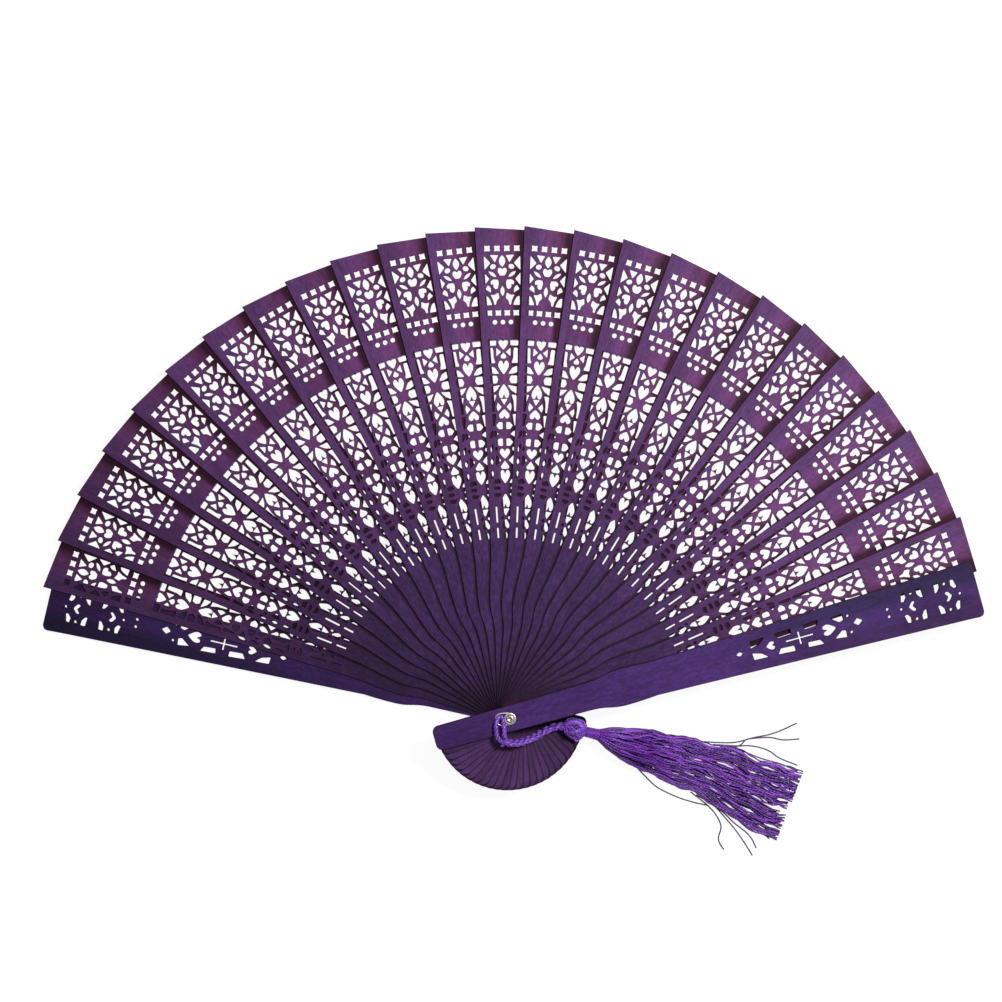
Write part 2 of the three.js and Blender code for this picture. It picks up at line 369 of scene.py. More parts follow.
def thread(name, deep, light, plies):
    """Silky thread. Each tube's tone picks its shade; it holds random tone and painted shade for threads
    deep in a bundle. Its plies run round it as it turns, with painted shade in the grooves between them.
    """
    look = Look(name)
    tone = look.value("ShaderNodeAttribute", output="Fac", attribute_name="tone")
    uv = look.value("ShaderNodeUVMap", uv_map="thread")
    parts = look.add("ShaderNodeSeparateXYZ", {0: uv})
    phase = look.minus(look.times(parts.outputs[1], plies), parts.outputs[0])
    # The ply stripes are painted shade in the grooves between the plies.
    ply = look.ease(look.math("COSINE", look.times(phase, math.tau)), -1, 1)
    fibre = look.noise(uv, (2, 14, 1), 3, 0.6)
    patch = look.noise(look.value("ShaderNodeTexCoord", output="Object"), 420, 2)
    share = look.plus(look.times(tone, 0.66), look.times(ply, 0.2))
    share = look.plus(share, look.times(look.minus(fibre, 0.4), 0.5))
    share = look.plus(share, look.times(look.minus(patch, 0.5), 0.4))
    share = look.ease(share, 0.12, 0.85)
    height = look.plus(ply, look.times(fibre, 0.6))
    return look.finish(
        Base_Color=look.mix(share, deep, light),
        Roughness=look.vary(fibre, 0.32, 0.46),
        Specular_IOR_Level=0.28,
        Sheen_Weight=0.04,
        Sheen_Roughness=0.35,
        Sheen_Tint=(0.75, 0.62, 1, 1),
        Normal=look.bump(height, 0.5, 0.06),
    )


def satin():
    """The spread ribbon: a fine weave with a soft shine."""
    look = Look("satin_ribbon")
    _, moved, _ = look.millimetres()
    waves = []
    for scale, way in ((1.6, "X"), (2.2, "Y")):
        inputs = {"Vector": moved, "Scale": scale, "Distortion": 0.6}
        waves.append(look.value("ShaderNodeTexWave", inputs, "Fac", bands_direction=way))
    weave = look.times(*waves)
    cloud = look.noise(moved, 0.3, 3)
    colour = look.mix(look.ease(weave, 0, 1), tint(52, 26, 92), tint(86, 50, 140))
    colour = look.mix(look.vary(cloud, 0, 0.35), colour, tint(60, 30, 84))
    return look.finish(
        Base_Color=colour,
        Roughness=look.ease(weave, 0, 1, 0.5, 0.32),
        Sheen_Weight=0.3,
        Normal=look.bump(weave, 0.3, 0.04),
    )


def pale_floor():
    """A white table, lit from within so that it stays white under the piercings too."""
    look = Look("pale_floor")
    cloud = look.noise(look.value("ShaderNodeTexCoord", output="Object"), 3, 2)
    return look.finish(
        Base_Color=look.mix(cloud, (0.08, 0.08, 0.08), (0.1, 0.1, 0.1)),
        Roughness=0.9,
        Specular_IOR_Level=0.1,
        Emission_Color=(1, 1, 1),
        Emission_Strength=0.93,
    )


BLADE_WOOD = dyed_wood(
    "blade_wood",
    blue=tint(66, 38, 78),
    purple=tint(78, 41, 82),
    plum=tint(61, 24, 52),
    neck=tint(44, 24, 57),
    tail=tint(57, 33, 71),
    # the colour of the painted shade beside the next stick up
    shadow_colour=tint(35, 5, 24),
)
GUARD_WOOD = dyed_wood(
    "guard_wood",
    blue=tint(36, 24, 60),
    purple=tint(54, 30, 82),
    plum=tint(49, 26, 70),
    neck=tint(52, 27, 78),
    tail=tint(49, 25, 74),
    outer=0.78,
)
BURNT_WOOD = burnt_wood()
RIVET_METAL = metal("rivet_metal", tint(178, 172, 166), tint(118, 112, 108), 0.34)
RING_METAL = metal("ring_metal", tint(206, 200, 196), tint(150, 142, 140), 0.3)
CORD_THREAD = thread("cord_thread", tint(24, 6, 52), tint(124, 70, 186), 3)
TASSEL_THREAD = thread("tassel_thread", tint(22, 3, 48), tint(112, 47, 165), 2)
STRAY_THREAD = thread("stray_thread", tint(34, 24, 44), tint(88, 60, 122), 2)
RIBBON_SATIN = satin()


# ---- meshes ----


def make_mesh(name, verts, faces, *materials):
    """A mesh from points in mm."""
    data = bpy.data.meshes.new(name)
    data.from_pydata([tuple(c * MM for c in v) for v in verts], [], faces)
    for material in materials:
        data.materials.append(material)
    return data


def add_smooth(data):
    data.polygons.foreach_set("use_smooth", [True] * len(data.polygons))
    return add_object(data.name, data)


def steps_along(points):
    """The length of each step of a line of points."""
    return np.linalg.norm(np.diff(points, axis=0), axis=1)


def far_along(points):
    """How far along the line each point lies."""
    return np.r_[0, np.cumsum(steps_along(points))]


def circle_points(count, radius, high=None):
    """(x, y) or (x, y, high) points of a circle."""
    turns = [k / count * math.tau for k in range(count)]
    rest = () if high is None else (high,)
    return [(radius * math.cos(a), radius * math.sin(a), *rest) for a in turns]


def bezier(controls, count):
    """count points of a Bezier curve of any order, its first point left out."""
    made = []
    for k in range(1, count + 1):
        t = k / count
        points = [Vector(p) for p in controls]
        while len(points) > 1:
            points = [a.lerp(b, t) for a, b in zip(points, points[1:])]
        made.append(points[0])
    return made


def through(points, count):
    """count + 1 points, evenly spaced by length, of a smooth curve through the given points."""
    known = [Vector(p) for p in points]
    known = [known[0] * 2 - known[1], *known, known[-1] * 2 - known[-2]]
    fine = []
    for a, b, c, d in zip(known, known[1:], known[2:], known[3:]):
        for k in range(12):
            t = k / 12
            second = (2 * a - 5 * b + 4 * c - d) * t**2
            third = (3 * b - a - 3 * c + d) * t**3
            fine.append(0.5 * (2 * b + (c - a) * t + second + third))
    fine.append(known[-2])
    fine = np.array(fine)
    far = far_along(fine)
    wanted = np.linspace(0, far[-1], count + 1)
    return np.stack([np.interp(wanted, far, axis) for axis in fine.T], axis=1)


def cross_axes(ahead):
    """Unit vectors to the side of a direction and up from it."""
    side = ahead.cross(Vector((0, 0, 1))).normalized()
    return side, side.cross(ahead)


def piece_axes(start, end):
    """Unit vectors along a piece, to its side and up from it."""
    ahead = (Vector(end) - Vector(start)).normalized()
    return ahead, *cross_axes(ahead)


def about(side, up, turn):
    """The way from a circle's middle to its point at a turn from side to up."""
    return math.cos(turn) * side + math.sin(turn) * up


def turned(x, y, turn):
    """A flat point turned about the origin."""
    return x * math.cos(turn) - y * math.sin(turn), x * math.sin(turn) + y * math.cos(turn)


def attach(piece, body, node=None):
    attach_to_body(piece, body)
    if node:
        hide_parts(node)


LOBE_SHARE = 0.2  # how far a lobe stands out from a tube's radius


class Threads:
    """Many tubes that become one mesh, each with its tone, which also carries painted shade. Their UV map
    runs along and round them.
    """

    def __init__(self):
        self.verts = []
        self.faces = []
        self.uvs = []
        self.tones_and_depth_shades = []

    def tube(self, route, radius, sides=6, tone=0.5, turn_mm=3, lobes=0, lobe_mm=4, closed=False):
        """A tube along route in mm. Its plies turn once in turn_mm, and its lobes once in lobe_mm."""
        route = np.asarray(route, float)
        count = len(route)
        ahead = np.roll(route, -1, axis=0) - np.roll(route, 1, axis=0)
        if not closed:
            ahead[0] = route[1] - route[0]
            ahead[-1] = route[-1] - route[-2]
        ahead /= np.linalg.norm(ahead, axis=1)[:, None]
        side = np.cross(ahead[0], (0, 0, 1))
        if np.linalg.norm(side) < 0.1:
            side = np.cross(ahead[0], (1, 0, 0))
        steps = steps_along(route)
        far = far_along(route)
        radii = np.broadcast_to(np.asarray(radius, float), (count,))
        first = len(self.verts)
        angles = np.arange(sides) / sides * math.tau
        for k in range(count):
            side = side - ahead[k] * (side @ ahead[k])
            side /= np.linalg.norm(side)
            up = np.cross(side, ahead[k])
            bulge = LOBE_SHARE * np.cos(lobes * (angles - far[k] / lobe_mm * math.tau)) if lobes else 0
            reach = radii[k] * (1 + bulge) * np.ones(sides)
            ring = route[k] + np.outer(np.cos(angles) * reach, side) + np.outer(np.sin(angles) * reach, up)
            self.verts.extend(map(tuple, ring))
        self.tones_and_depth_shades.extend([tone] * (count * sides))
        spans = count if closed else count - 1
        for k in range(spans):
            here = first + k * sides
            there = first + (k + 1) % count * sides
            u0 = far[k] / turn_mm + tone * 40
            u1 = u0 + (steps[k] if k < len(steps) else steps[0]) / turn_mm
            for j in range(sides):
                n = (j + 1) % sides
                self.faces.append((here + j, here + n, there + n, there + j))
                v0, v1 = j / sides, (j + 1) / sides
                self.uvs += [(u0, v0), (u0, v1), (u1, v1), (u1, v0)]
        if not closed:
            last = first + (count - 1) * sides
            self.faces.append(tuple(range(first + sides - 1, first - 1, -1)))
            self.faces.append(tuple(range(last, last + sides)))
            self.uvs += [(0, 0)] * (2 * sides)

    def build(self, name, material):
        data = make_mesh(name, self.verts, self.faces, material)
        data.attributes.new("tone", "FLOAT", "POINT").data.foreach_set("value", self.tones_and_depth_shades)
        layer = data.uv_layers.new(name="thread")
        layer.data.foreach_set("uv", np.array(self.uvs, float).ravel())
        return add_smooth(data)


def spun(name, profile, material, segments=64):
    """A solid of revolution about Z from (radius, height) points that start and end on the axis or meet."""
    verts = []
    faces = []
    rings = []
    for r, z in profile:
        if r == 0:
            rings.append([len(verts)] * segments)
            verts.append((0, 0, z))
        else:
            rings.append(list(range(len(verts), len(verts) + segments)))
            verts += circle_points(segments, r, z)
    pairs = list(zip(rings, rings[1:]))
    if profile[0][0] != 0:
        pairs.append((rings[-1], rings[0]))
    for low, high in pairs:
        for k in range(segments):
            n = (k + 1) % segments
            face = tuple(dict.fromkeys([low[k], low[n], high[n], high[k]]))
            if len(face) > 2:
                faces.append(face)
    return add_smooth(make_mesh(name, verts, faces, material))


# ---- the cord, its loop through the ring, and the pieces on it ----

CORD_START = [(-3.4, -0.3, 24.2), (-3.6, -2.2, 24.85)]
CORD_POINTS = [
    (-3.5, -4.1, 24.9), (-3.1, -6.5, 24.6), (-1.6, -8.2, 23.2), (0.8, -9, 21.4), (3.7, -9, 19),
    (6.9, -8.3, 16.2), (9.9, -7.2, 13.8), (12.7, -5.8, 11.9), (15.8, -4.6, 10.3), (19, -4.3, 9.5),
]
CORD_END = [(20.8, -4.5, 9.35)]
STRAND_R = 0.76
STRAND_OUT = 0.68  # from the cord's centre line to each strand's
STRAND_LOBES = (3, -4.2)  # its three plies, and the way and mm in which they turn, against the twist
TWIST_MM = 5.8  # one full turn of the two strands about each other
LEGS_MM = 8.3  # the two strands run apart this far, and then twist
LEGS_OUT = 0.75  # further out than STRAND_OUT where they are widest apart
WRAP_R = 1.3  # the thread wrapped round the cord where the strands meet
WRAP_LONG = 1.1
WRAP_TURNS = 1.6
WRAP_POINTS = 40

KNOT_AT = (23.5, -5.1, 9.2)
KNOT_R = 4
BINDING_FROM = (27.9, -6.5, 8.6)
BINDING_TO = (32.6, -7.7, 7.9)
WINDING_R = 1.72
WINDING_FLARE = 0.33  # how much wider it is at the skirt
WINDING_START = -0.35
WINDING_PITCH = 0.44
WINDING_SIDES = 24  # points on each turn


def spread_of_legs(far):
    """How far each strand lies from the cord's centre line."""
    if far > LEGS_MM:
        return STRAND_OUT
    share = far / LEGS_MM
    return STRAND_OUT + LEGS_OUT * math.sin(math.pi * min(1, 0.12 + share * 0.88)) ** 0.8


def strand_route(centre, start_turn):
    """One of the two strands, from the loop to the knot."""
    made = []
    for k, far in enumerate(far_along(centre)):
        ahead = Vector(centre[min(k + 1, len(centre) - 1)] - centre[max(k - 1, 0)]).normalized()
        turn = start_turn + max(0, far - LEGS_MM) / TWIST_MM * math.tau
        made.append(Vector(centre[k]) + spread_of_legs(far) * about(*cross_axes(ahead), turn))
    return made


def make_cord():
    points = CORD_START + CORD_POINTS + CORD_END
    centre = through(points, 150)
    one = strand_route(centre, 0)
    two = strand_route(centre, math.pi)
    middle = (one[0] + two[0]) / 2
    back = (Vector(centre[0]) - Vector(centre[1])).normalized()
    reach = (one[0] - two[0]).length / 2
    bend = [middle + about(one[0] - middle, back * reach, math.pi * k / 8) for k in range(1, 8)]
    threads = Threads()
    threads.tube([*reversed(one), *bend, *two], STRAND_R, 18, 0.5, -1.4, *STRAND_LOBES)
    join_wrap(threads, centre)
    cord = threads.build("tassel_cord_twisted", CORD_THREAD)
    length = float(steps_along(centre).sum())
    return cord, through(points, 30) * MM, length * MM


def join_wrap(threads, centre):
    """A turn of thread where the two strands meet, with its short frayed end."""
    at = int(np.searchsorted(far_along(centre), LEGS_MM - 0.2))
    ahead, side, up = piece_axes(centre[at - 1], centre[at + 1])
    middle = Vector(centre[at])
    wrap = []
    for k in range(WRAP_POINTS + 1):
        share = k / WRAP_POINTS
        out = about(side, 0.85 * up, share * math.tau * WRAP_TURNS)
        wrap.append(middle + WRAP_R * out + ahead * (share - 0.5) * WRAP_LONG)
    threads.tube(wrap, 0.3, 8, 0.55, 1.2)
    for k in range(5):
        fan = (k - 2) * 0.35
        tip = middle + Vector((-0.7 + fan * 0.8, -2.35 + abs(fan) * 0.3, 0.2 * (k % 2) - 0.5))
        threads.tube(through([middle, middle.lerp(tip, 0.5) + up * 0.25, tip], 8), 0.17, 5, 0.6, 1)


KNOT_LEADS = 4  # turns of the strand round the knot
KNOT_BIGHTS = 5  # waves in them
KNOT_REACH = 1.12  # how far the waves reach to either end, in radians
KNOT_LONG = 1.2  # the ball's length by its width
KNOT_WEAVE = 0.26  # how far the strand rises and dips where it crosses itself
KNOT_LAYERS = [  # radius to the strand's middle, its shift along the ball, first turn, radius and tone, lowest on the inner layer as painted shade
    (KNOT_R - 0.85, -0.16, 0, 0.62, 0.6),
    (KNOT_R - 0.85, 0.16, 0, 0.62, 0.4),
    (KNOT_R - 1.55, 0, math.pi / KNOT_BIGHTS, 0.66, 0.2),
]
KNOT_CORE_R = KNOT_R - 2
KNOT_ENDS = [  # radius of a strand's end that lies on the ball, and its points along, to the side and up
    (0.5, [(-3.7, 0.2, 1.6), (-2.4, -2.2, 2.4), (0.6, -2.6, 2.6), (2.7, -1.2, 2.2)]),
    (0.32, [(1.2, 2.9, 0.6), (0.9, 4.1, 0.2), (2, 4.2, 0), (2.8, 2.9, 0.4)]),
]


def knot_route(middle_r, shift, start_turn):
    """A woven ball: one closed strand that passes over and under itself by turns."""
    ahead, side, up = piece_axes(CORD_POINTS[-1], BINDING_FROM)
    made = []
    count = 360
    for k in range(count):
        t = k / count * math.tau
        wave = KNOT_BIGHTS * t
        latitude = KNOT_REACH * math.sin(wave) + shift
        halves, rest = divmod(wave - math.pi / 2, math.pi)
        step = rest / math.pi * KNOT_LEADS
        sign = -1 if (int(halves) * (KNOT_LEADS - 1)) % 2 else 1
        weave = sign * math.cos(math.pi * (step - 1)) * math.sin(math.pi * step / KNOT_LEADS) ** 0.5
        radius = middle_r + KNOT_WEAVE * weave
        out = radius * math.cos(latitude) * about(side, up, KNOT_LEADS * t + start_turn)
        made.append(Vector(KNOT_AT) + ahead * radius * math.sin(latitude) * KNOT_LONG + out)
    return made


def make_knot():
    threads = Threads()
    for middle_r, shift, start_turn, radius, tone in KNOT_LAYERS:
        threads.tube(knot_route(middle_r, shift, start_turn), radius, 12, tone, 1, 3, 3, closed=True)
    ahead, side, up = piece_axes(CORD_POINTS[-1], BINDING_FROM)
    turns = [math.pi * k / 12 for k in range(13)]
    spine = [Vector(KNOT_AT) - ahead * KNOT_CORE_R * math.cos(turn) for turn in turns]
    # The core gets a very dark tone: painted shade inside the ball.
    threads.tube(spine, [max(KNOT_CORE_R * math.sin(turn), 0.3) for turn in turns], 24, 0.05, 1)
    for radius, points in KNOT_ENDS:
        placed = [Vector(KNOT_AT) + ahead * a + side * s + up * u for a, s, u in points]
        threads.tube(through(placed, 26), radius, 8, 0.85, 1.2, 3, 2)
    return threads.build("tassel_ball_knot", CORD_THREAD)


def make_binding():
    """The wound neck of the tassel, over a core of gathered threads that starts inside the knot."""
    threads = Threads()
    ahead, side, up = piece_axes(BINDING_FROM, BINDING_TO)
    start = Vector(BINDING_FROM)
    long = (Vector(BINDING_TO) - start).length
    core = [start + ahead * d for d in (-1.2, -0.6, 0, 1.2, 2.4, long, long + 0.4)]
    threads.tube(core, [1.4, 1.5, 1.5, 1.55, 1.65, 1.85, 1.85], 20, 0.3, 1)
    wound = []
    for k in range(int((long + 0.3) / WINDING_PITCH) * WINDING_SIDES + 1):
        turns = k / WINDING_SIDES
        d = WINDING_START + turns * WINDING_PITCH
        radius = WINDING_R + WINDING_FLARE * (max(0, d) / long) ** 2 + 0.05 * math.sin(k * 0.9)
        wound.append(start + ahead * d + radius * about(side, up, turns * math.tau))
    threads.tube(wound, 0.235, 8, 0.6, 1.2)
    return threads.build("tassel_wound_neck", TASSEL_THREAD)


# ---- the skirt of the tassel ----

SKIRT_UPPER = [
    (32.8, -5.7), (38, -5), (46, -5.6), (56, -7), (68, -10), (81, -12.8), (91, -16.8), (107.2, -23.2),
]
SKIRT_LOWER = [
    (31.8, -9.5), (37, -14.3), (42.6, -17.8), (54, -24.2),
    (66, -28.8), (75, -34.2), (86, -41.2), (98.5, -46),
]
SKIRT_STEPS = 84
SKIRT_LONG = 79
SKIRT_THREADS = 154
SKIRT_CLUMPS = 22
SKIRT_TOP = 7.9  # the height of its middle at the neck
SKIRT_DROP = 5.2
SKIRT_ROUND = 0.9  # its height by its width at the neck,
SKIRT_FLAT = 0.15  # and on the table
SKIRT_NOTCH = 0.42  # the end parts into two bundles here: 0 is the lower edge, 1 the upper
THREAD_R = 0.29


def waves(rng, *kinds):
    """A sum of sine waves, each given by its shortest and longest wavelength and largest height, in mm."""
    made = []
    for short, long, size in kinds:
        made.append((rng.uniform(short, long), rng.uniform(0, math.tau), rng.uniform(0.4, 1) * size))
    return lambda far: sum(size * math.sin(far / long * math.tau + phase) for long, phase, size in made)


def skirt_thread(rng, place, clump_sway, upper, lower):
    """One thread: it leaves the neck with its clump, sinks to the table and runs out between the edges."""
    start_share = min(max(place + rng.gauss(0, 0.1), 0), 1)
    end_share = min(max(place + rng.gauss(0, 0.02), -0.01), 1.01)
    away = math.copysign(1, end_share - SKIRT_NOTCH)
    near_notch = max(0, 1 - abs(end_share - SKIRT_NOTCH) / 0.09)
    short = 0.05 * near_notch + abs(rng.gauss(0, 0.025)) + (rng.random() < 0.15) * rng.uniform(0.03, 0.1)
    level = rng.uniform(-1, 1)
    sway = waves(rng, (9, 17, 0.3), (4, 6, 0.13))
    lift = waves(rng, (7, 13, 0.3))
    count = len(upper) - 1
    stray_end = rng.gauss(0, 0.9)
    route = []
    for k in range(int(count * (1 - short)) + 1):
        t = k / count
        far = t * SKIRT_LONG
        share = start_share + (end_share - start_share) * min(1, t * 2.2)
        share += 0.035 * away * rise(t, 0.72, 1)
        across = Vector(upper[k]) - Vector(lower[k])
        wide = across.length
        off = (sway(far) + clump_sway(far)) * min(1, t * 4) + stray_end * rise(t, 0.88, 1)
        flat = Vector(lower[k]).lerp(Vector(upper[k]), share) + across.normalized() * off
        down = rise(far, 0, 32)
        round_room = math.sqrt(max(0, 1 - (2 * min(1, max(0, share)) - 1) ** 2))
        half_high = (SKIRT_ROUND + (SKIRT_FLAT - SKIRT_ROUND) * down) * wide / 2 * round_room
        height = SKIRT_TOP - SKIRT_DROP * down + level * half_high + lift(far) * min(1, t * 3)
        route.append((flat.x, flat.y, max(THREAD_R + 0.05, height)))
    # Lower threads get a darker tone: painted shade deep in the skirt, with a random spread.
    return route, min(1, max(0, 0.28 + 0.26 * level + rng.gauss(0, 0.2)))


STRAYS = [
    [(66, -10.2, 3.4), (76, -10.9, 2.8), (82.4, -10.8, 2.2), (88.7, -9.2, 1.6),
     (94.3, -8.2, 0.9), (99, -6.6, 0.5), (104.6, -4, 0.4)],
    [(80, -13.4, 2.6), (84.2, -11.7, 2.2), (86, -9.9, 1.8), (89.5, -9.4, 1.3),
     (95, -9.2, 0.8), (99.6, -10.1, 0.5), (105.6, -9.8, 0.4)],
    [(74, -11.6, 3), (83, -12.2, 2.2), (86.8, -12.1, 1.6), (91.2, -12.9, 1),
     (95, -14.4, 0.7), (98.6, -16.9, 0.5), (104.9, -19.4, 0.4)],
    [(78, -13.4, 2), (84, -14, 1.4), (92, -17, 0.8), (99, -19, 0.5), (105, -21.6, 0.4)],
    [(40, -15.6, 3), (44.9, -19, 1.6), (49.3, -23.5, 0.6), (53.7, -27.6, 0.4),
     (61, -31.2, 0.4), (67.4, -33.2, 0.5), (72.2, -34.2, 0.5)],
    [(66, -29.2, 1.4), (72.2, -34.2, 0.8), (75.5, -38, 0.5), (77.2, -42, 0.4),
     (76.3, -46.1, 0.4), (76.9, -48.5, 0.4), (78.3, -50.5, 0.4)],
    [(68, -30.2, 1.6), (74.6, -34.4, 0.9), (78.7, -38.8, 0.5), (81.9, -42.5, 0.4),
     (85.5, -47.5, 0.4), (88.7, -52.6, 0.4)],
    [(72, -32.4, 1.4), (77.3, -36.2, 0.8), (81.9, -40.6, 0.5), (85.5, -43.4, 0.4),
     (88.2, -46.1, 0.4), (90.1, -49.9, 0.4)],
]


def make_skirt():
    rng = random.Random(7)
    threads = Threads()
    upper = through(SKIRT_UPPER, SKIRT_STEPS)
    lower = through(SKIRT_LOWER, SKIRT_STEPS)
    clumps = []
    for k in range(SKIRT_CLUMPS):
        clumps.append(((k + rng.uniform(0.15, 0.85)) / SKIRT_CLUMPS, waves(rng, (14, 30, 0.7))))
    for k in range(SKIRT_THREADS):
        place, sway = clumps[k % SKIRT_CLUMPS]
        route, tone = skirt_thread(rng, place, sway, upper, lower)
        threads.tube(route, THREAD_R * rng.uniform(0.85, 1.12), 6, tone, 1.2)
    return threads.build("tassel_threads", TASSEL_THREAD)


def make_strays():
    threads = Threads()
    for k, points in enumerate(STRAYS):
        threads.tube(through(points, 36), 0.26, 6, 0.2 + 0.1 * (k % 4), 1.6)
    return threads.build("tassel_stray_threads", STRAY_THREAD)


def make_tassel():
    cord, path, length = make_cord()
    knot = make_knot()
    binding = make_binding()
    pieces = ((cord, "cord"), (knot, "knot"), (binding, "binding"), (make_skirt(), "skirt"))
    for piece, name in pieces:
        attach(piece, "tassel", f"tassel_{name}")
    attach(make_strays(), "tassel")


make_tassel()


# ---- openings of the sticks ----
# An opening is a list of (offset, distance) points: offset from the pattern's centre line, distance from
# the rivet, both in mm.

PATTERN_SHIFT = 0.5  # the pattern's centre line lies this far to the stick's anticlockwise side
BOW = 0.14  # how far the sides of a square bow in
CELL_CORNER = 0.38  # how far from its corners a cell starts to round
HEART_RIGHT = [  # its right half, from between the lobes to the point
    (0, 0.3), (0.22, 0.06), (0.5, -0.03), (0.82, 0.05), (1, 0.27), (0.9, 0.5), (0.52, 0.77), (0.1, 1),
]
SLIT_HALF = 0.32
SLITS = ((75.4, 69.5), (67.8, 63.9))  # far and near end


def neighbours(points):
    """Each point of a loop, between the one before and the one after."""
    loop = [Vector(p) for p in points]
    return zip(loop[-1:] + loop[:-1], loop, loop[1:] + loop[:1])


def soften(points, corner):
    """The polygon with each corner replaced by a short curve."""
    made = []
    for before, at, after in neighbours(points):
        back = before - at
        on = after - at
        start = at + back * min(0.45, corner / max(back.length, 1e-6))
        end = at + on * min(0.45, corner / max(on.length, 1e-6))
        made.append(tuple(start))
        made += [tuple(p) for p in bezier([start, at, end], 3)]
    return made


def square(offset, distance, wide, high):
    """A square whose sides bow in a little."""
    x, y = wide / 2, high / 2
    half = [(x, y), (0, y - BOW), (-x, y), (-x + BOW, 0)]
    corners = half + [(-a, -b) for a, b in half]
    return soften([(offset + a, distance + b) for a, b in corners], 0.2)


def oval(offset, distance, half_wide, half_high, lean_deg=0):
    lean = math.radians(lean_deg)
    points = [turned(half_wide * x, half_high * y, lean) for x, y in circle_points(16, 1)]
    return [(offset + a, distance + b) for a, b in points]


def dot(offset, distance, radius):
    return oval(offset, distance, radius, radius)


def leaf(start, end, half):
    """A pointed oval between two points."""
    a, b = Vector(start), Vector(end)
    along = b - a
    side = Vector((-along.y, along.x)).normalized() * half * 2
    middle = (a + b) / 2
    outline = [a, *bezier([a, middle + side, b], 8), *bezier([b, middle - side, a], 8)[:-1]]
    return [tuple(p) for p in outline]


def heart(lobes_at, point_at, half):
    """A heart whose lobes lie at one distance and whose point lies at another."""
    long = point_at - lobes_at
    left = [(-a, b) for a, b in reversed(HEART_RIGHT[1:])]
    return soften([(a * half, lobes_at + b * long) for a, b in HEART_RIGHT + left], 0.22)


def cell(*numbers):
    """A polygon with soft corners, from its offsets and distances by turns."""
    return soften(list(zip(numbers[::2], numbers[1::2])), CELL_CORNER)


def both(*outlines):
    """Each outline and its mirror image."""
    return [[(side * a, b) for a, b in outline] for outline in outlines for side in (1, -1)]


def flower(at, petals):
    """Petals on both sides of a solid centre, given as distances from it."""
    return both(*[soften([(a, at + b) for a, b in petal], CELL_CORNER) for petal in petals])


# The square panel near the tip, between its rows of squares, and the row of dots below.
UPPER_LACE = both(
    square(1.78, 168, 2.2, 2.2),
    square(5.33, 168, 2.2, 2.2),
    cell(4.15, 162.8, 6.55, 165.4, 6.55, 160.1),
    cell(4.45, 165.75, 1.25, 165.65, 2.6, 162.9),
    oval(3.3, 161.5, 1.15, 0.95, -25),
    leaf((5, 159.9), (2.05, 157.7), 0.62),
    cell(4.6, 157.1, 6.55, 159.4, 6.45, 154.8),
    cell(1.2, 155.6, 1.5, 156.9, 3.4, 157, 4.35, 156.2, 4.1, 155, 3.15, 155.3, 3.3, 154.3, 2.5, 153.3,
         1.6, 153.6),
    cell(5.2, 155, 6.2, 153.4, 4, 152.1, 4.2, 154),
    cell(4.35, 151.5, 3, 151.4, 1.5, 152.3, 1.05, 150.3, 2.1, 149.3, 2.4, 147.8, 3, 147.7, 3.3, 149.3),
    cell(6.15, 151.1, 6.15, 147.6, 3.7, 147.7, 4.3, 149.3, 5.1, 150.7),
    square(1.6, 144.9, 2.2, 2.1),
    square(4.8, 144.9, 2.2, 2.1),
    dot(2.87, 141.6, 0.92),
) + [
    leaf((0, 165.7), (0, 161.3), 1.2),
    cell(0, 160.5, 0.7, 161.2, 1.6, 160.9, 1.75, 159.7, 0.9, 158.2, -0.9, 158.2, -1.75, 159.7,
         -1.6, 160.9, -0.7, 161.2),
    leaf((0, 154.7), (0, 150.8), 0.78),
    dot(0, 141.6, 0.92),
]

# The panel of hearts and petals below the plain band.
MIDDLE_LACE_PETALS = [
    [(1.55, 1.9), (3.1, 4.1), (4.9, 4.8), (4.9, 2.35), (3.2, 1.8)],
    [(4.85, 1.3), (2.5, 1.25), (1.9, -0.2), (2.5, -1.6), (4.8, -1.65)],
    [(1.25, -2.1), (4.6, -2.7), (4.5, -5.4), (2.7, -4.2)],
]
MIDDLE_LACE = flower(121.2, MIDDLE_LACE_PETALS) + both(
    cell(2.45, 135.4, 5.5, 135.4, 5.4, 133.1, 2.55, 133.2),
    cell(2.6, 132.5, 0.75, 130.9, 2.6, 129.3),
    cell(3.8, 132.5, 5.2, 132.4, 5.1, 126.8, 2.85, 126.9, 3.5, 128.8, 3.6, 131.2),
    cell(2.7, 115.7, 4.5, 115.4, 4.3, 109.5, 3.6, 109.5, 3.4, 113.2),
    cell(0.75, 111.2, 2.3, 112.9, 2.75, 111.2, 2.3, 109.5),
    cell(3, 108.6, 4.3, 108.7, 4.1, 104.2, 3.6, 104.4),
) + [
    heart(135.7, 131.7, 1.8),
    cell(0, 130.9, 1.2, 129.3, 0.7, 128.5, -0.7, 128.5, -1.2, 129.3),
    heart(127.8, 122.9, 2),
    heart(114.3, 119.4, 1.95),
    cell(-1.3, 114.1, 1.3, 114.1, 0, 111.8),
    heart(107, 110.4, 2),
]

